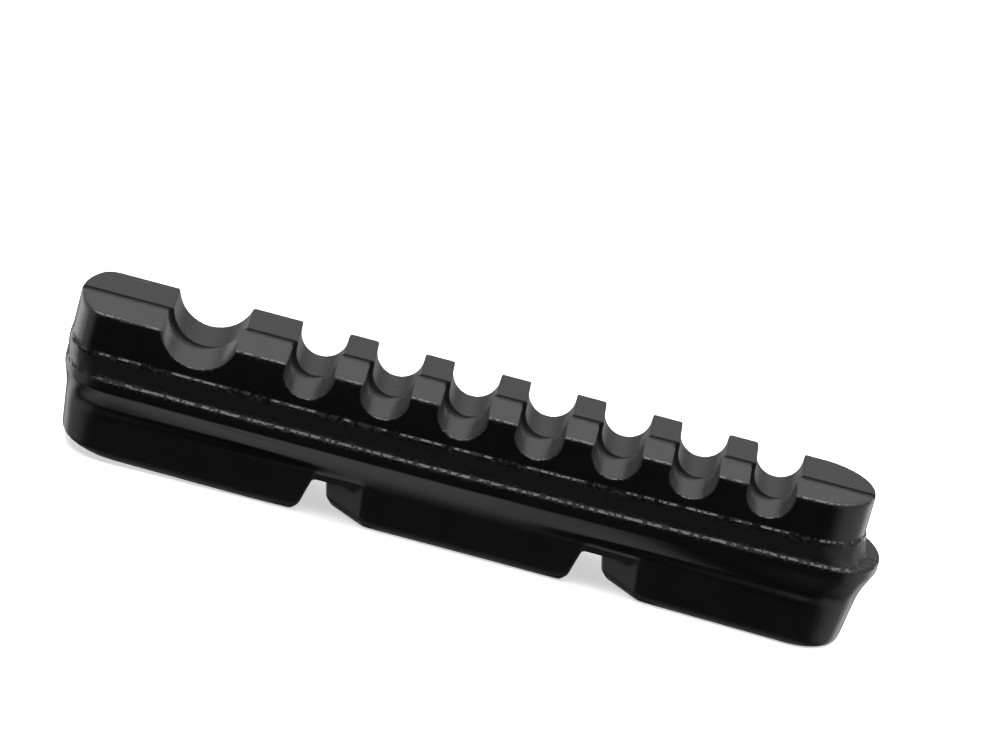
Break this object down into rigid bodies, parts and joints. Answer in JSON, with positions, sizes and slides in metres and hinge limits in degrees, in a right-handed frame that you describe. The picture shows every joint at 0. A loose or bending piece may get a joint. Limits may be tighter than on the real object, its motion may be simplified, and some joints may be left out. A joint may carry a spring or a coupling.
{
  "type": "bicycle rim brake pad insert",
  "caption": "One-piece black rubber insert for a road rim brake shoe: bowed friction face with two chevron water slots, thin lip, and a toothed back with a wide keeper notch.",
  "frame": {"origin": "on the friction face, on the mould's parting plane, halfway along the pad", "axes": "+X along the pad towards its round end, +Y across it towards the bowed-out side, +Z from the friction face to the toothed back"},
  "size_m": [0.054, 0.011, 0.0103],
  "materials": {
    "brake_rubber": "satin moulded rubber"
  },
  "bodies": {
    "root": {"brake_pad_insert": "brake_rubber"}
  },
  "joints": []
}
